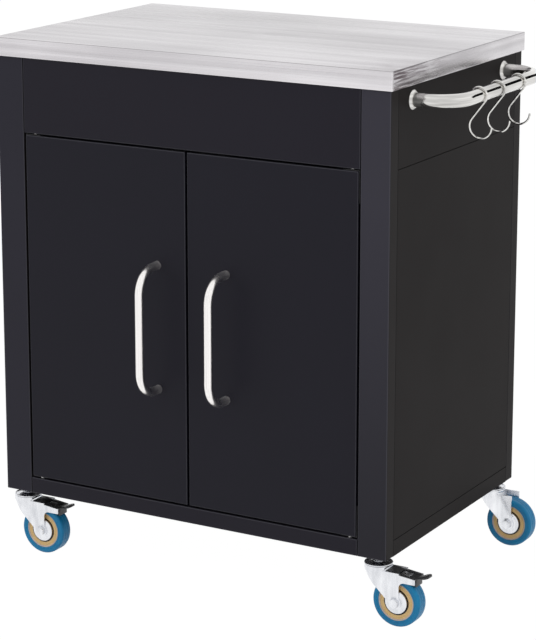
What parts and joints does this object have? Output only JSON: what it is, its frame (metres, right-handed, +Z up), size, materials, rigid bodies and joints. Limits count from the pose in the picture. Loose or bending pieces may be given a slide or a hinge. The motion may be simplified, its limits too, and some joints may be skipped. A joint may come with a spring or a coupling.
{
  "type": "kitchen cart",
  "caption": "Black two-door kitchen cart on swivel casters, with a folded steel worktop, bow handles and a side towel rail with S-hooks.",
  "frame": {"origin": "on the floor, in the middle of the whole outline, handles, towel rail and hooks included", "axes": "+Z up, the doors face -Y, the towel rail is on the +X side"},
  "size_m": [0.748, 0.4934, 0.805],
  "materials": {
    "steel_sheet": "brushed along its width",
    "core_board": "raw board",
    "black_lacquer": "satin black lacquer on board",
    "chrome_tube": "polished",
    "zinc_plate": "bright zinc plate",
    "tyre_blue": "smooth",
    "hub_plastic": "moulded",
    "black_steel": "satin",
    "catch_plastic": "moulded"
  },
  "bodies": {
    "cabinet": {"worktop_skin": "steel_sheet", "worktop_core": "core_board", "post_front_left": "black_lacquer", "post_front_right": "black_lacquer", "post_rear_left": "black_lacquer", "post_rear_right": "black_lacquer", "apron": "black_lacquer", "front_rail": "black_lacquer", "back_panel": "black_lacquer", "floor_board": "black_lacquer", "shelf": "black_lacquer", "shelf_pins": "zinc_plate", "side_rail_left": "black_lacquer", "side_panel_left": "black_lacquer", "side_plinth_left": "black_lacquer", "side_rail_right": "black_lacquer", "side_panel_right": "black_lacquer", "side_plinth_right": "black_lacquer", "door_catches": "catch_plastic", "pivot_bushings": "zinc_plate", "towel_rail": "chrome_tube", "rail_flanges": "chrome_tube", "rail_screws": "zinc_plate", "caster_stems": "zinc_plate", "caster_caps": "zinc_plate"},
    "door_left": {"door_left": "black_lacquer", "pivot_plates_left": "black_steel", "striker_left": "zinc_plate", "handle_left": "chrome_tube", "handle_screws_left": "zinc_plate"},
    "door_right": {"door_right": "black_lacquer", "pivot_plates_right": "black_steel", "striker_right": "zinc_plate", "handle_right": "chrome_tube", "handle_screws_right": "zinc_plate"},
    "hook_front": {"s_hook_front": "chrome_tube"},
    "hook_middle": {"s_hook_middle": "chrome_tube"},
    "hook_rear": {"s_hook_rear": "chrome_tube"},
    "swivel_front_left": {"fork_front_left": "zinc_plate", "axle_front_left": "zinc_plate", "dust_covers_front_left": "zinc_plate"},
    "wheel_front_left": {"hub_front_left": "hub_plastic", "tyre_front_left": "tyre_blue"},
    "swivel_front_right": {"fork_front_right": "zinc_plate", "axle_front_right": "zinc_plate", "dust_covers_front_right": "zinc_plate"},
    "wheel_front_right": {"hub_front_right": "hub_plastic", "tyre_front_right": "tyre_blue"},
    "swivel_rear_left": {"fork_rear_left": "zinc_plate", "axle_rear_left": "zinc_plate", "dust_covers_rear_left": "zinc_plate"},
    "wheel_rear_left": {"hub_rear_left": "hub_plastic", "tyre_rear_left": "tyre_blue"},
    "swivel_rear_right": {"fork_rear_right": "zinc_plate", "axle_rear_right": "zinc_plate", "dust_covers_rear_right": "zinc_plate"},
    "wheel_rear_right": {"hub_rear_right": "hub_plastic", "tyre_rear_right": "tyre_blue"},
    "pedal_left": {"brake_pedal_left": "black_steel"},
    "pedal_right": {"brake_pedal_right": "black_steel"}
  },
  "joints": [
    {"name": "door_left_hinge", "type": "hinge", "parent": "cabinet", "child": "door_left", "pos_m": [-0.3092, -0.18125, 0.3945], "axis": [0, 0, -1], "range_deg": [0, 110]},
    {"name": "door_right_hinge", "type": "hinge", "parent": "cabinet", "child": "door_right", "pos_m": [0.2262, -0.18125, 0.3945], "axis": [0, 0, 1], "range_deg": [0, 110]},
    {"name": "hook_front_swing", "type": "hinge", "parent": "cabinet", "child": "hook_front", "pos_m": [0.353, -0.04625, 0.756], "axis": [0, -1, 0], "range_deg": [-45, 60]},
    {"name": "hook_middle_swing", "type": "hinge", "parent": "cabinet", "child": "hook_middle", "pos_m": [0.353, 0.01475, 0.756], "axis": [0, -1, 0], "range_deg": [-45, 60]},
    {"name": "hook_rear_swing", "type": "hinge", "parent": "cabinet", "child": "hook_rear", "pos_m": [0.353, 0.08575, 0.756], "axis": [0, -1, 0], "range_deg": [-45, 60]},
    {"name": "swivel_front_left_turn", "type": "hinge", "parent": "cabinet", "child": "swivel_front_left", "pos_m": [-0.348, -0.16725, 0.085], "axis": [0, 0, 1], "continuous": true},
    {"name": "wheel_front_left_roll", "type": "hinge", "parent": "swivel_front_left", "child": "wheel_front_left", "pos_m": [-0.314, -0.16725, 0.0375], "axis": [0, 1, 0], "continuous": true},
    {"name": "swivel_front_right_turn", "type": "hinge", "parent": "cabinet", "child": "swivel_front_right", "pos_m": [0.265, -0.16725, 0.085], "axis": [0, 0, 1], "continuous": true},
    {"name": "wheel_front_right_roll", "type": "hinge", "parent": "swivel_front_right", "child": "wheel_front_right", "pos_m": [0.299, -0.16725, 0.0375], "axis": [0, 1, 0], "continuous": true},
    {"name": "swivel_rear_left_turn", "type": "hinge", "parent": "cabinet", "child": "swivel_rear_left", "pos_m": [-0.348, 0.22075, 0.085], "axis": [0, 0, 1], "continuous": true},
    {"name": "wheel_rear_left_roll", "type": "hinge", "parent": "swivel_rear_left", "child": "wheel_rear_left", "pos_m": [-0.314, 0.22075, 0.0375], "axis": [0, 1, 0], "continuous": true},
    {"name": "swivel_rear_right_turn", "type": "hinge", "parent": "cabinet", "child": "swivel_rear_right", "pos_m": [0.265, 0.22075, 0.085], "axis": [0, 0, 1], "continuous": true},
    {"name": "wheel_rear_right_roll", "type": "hinge", "parent": "swivel_rear_right", "child": "wheel_rear_right", "pos_m": [0.299, 0.22075, 0.0375], "axis": [0, 1, 0], "continuous": true},
    {"name": "pedal_left_press", "type": "hinge", "parent": "swivel_front_left", "child": "pedal_left", "pos_m": [-0.317, -0.16725, 0.0787], "axis": [0, 1, 0], "range_deg": [0, 6]},
    {"name": "pedal_right_press", "type": "hinge", "parent": "swivel_front_right", "child": "pedal_right", "pos_m": [0.296, -0.16725, 0.0787], "axis": [0, 1, 0], "range_deg": [0, 6]}
  ]
}
